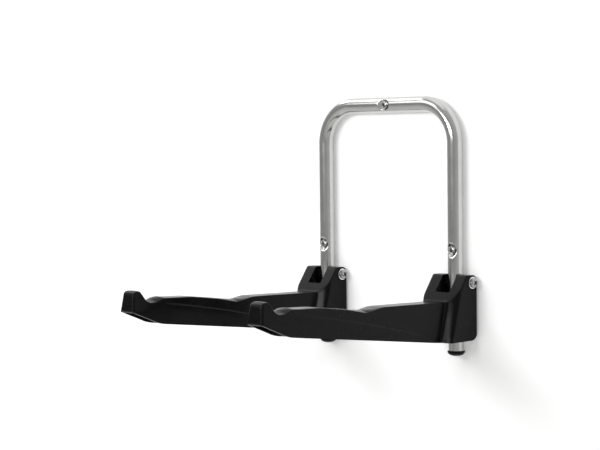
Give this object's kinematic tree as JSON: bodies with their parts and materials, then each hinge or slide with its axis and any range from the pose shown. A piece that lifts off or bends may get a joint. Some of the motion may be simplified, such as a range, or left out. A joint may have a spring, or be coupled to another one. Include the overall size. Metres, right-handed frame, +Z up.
{
  "type": "wall-mounted bike rack",
  "caption": "Wall rack for a bicycle: a bent steel tube screwed to the wall carries hollow ribbed moulded arms that fold up, each with cradles for the frame and an upturned end.",
  "frame": {"origin": "on the wall plane, where the axis of the top wall screw meets it, midway between the legs", "axes": "+X along the wall, to the right for someone who faces it; +Y into the wall, so the arms point to -Y; +Z up"},
  "size_m": [0.3651, 0.4904, 0.4096],
  "materials": {
    "satin_steel": "satin",
    "bright_zinc": "bright zinc plating",
    "black_plastic": "moulded, half matt",
    "cap_plastic": "moulded, smooth",
    "nylon": "moulded, natural"
  },
  "bodies": {
    "frame": {"frame_tube": "satin_steel", "end_cap_left": "cap_plastic", "end_cap_right": "cap_plastic", "pivot_bolt_left": "bright_zinc", "pivot_bolt_right": "bright_zinc", "head_washer_left": "bright_zinc", "head_washer_right": "bright_zinc", "nut_washer_left": "bright_zinc", "nut_washer_right": "bright_zinc", "lock_nut_left": "bright_zinc", "lock_nut_right": "bright_zinc", "crush_sleeve_left": "bright_zinc", "crush_sleeve_right": "bright_zinc", "side_washer_left_outer": "nylon", "side_washer_left_inner": "nylon", "side_washer_right_outer": "nylon", "side_washer_right_inner": "nylon", "wall_screw_top": "bright_zinc", "wall_screw_left": "bright_zinc", "wall_screw_right": "bright_zinc"},
    "left_arm": {"arm_left": "black_plastic"},
    "right_arm": {"arm_right": "black_plastic"}
  },
  "joints": [
    {"name": "left_arm_fold", "type": "hinge", "parent": "frame", "child": "left_arm", "pos_m": [-0.14, -0.0127, -0.28], "axis": [-1, 0, 0], "range_deg": [0, 90]},
    {"name": "right_arm_fold", "type": "hinge", "parent": "frame", "child": "right_arm", "pos_m": [0.14, -0.0127, -0.28], "axis": [-1, 0, 0], "range_deg": [0, 90]}
  ]
}
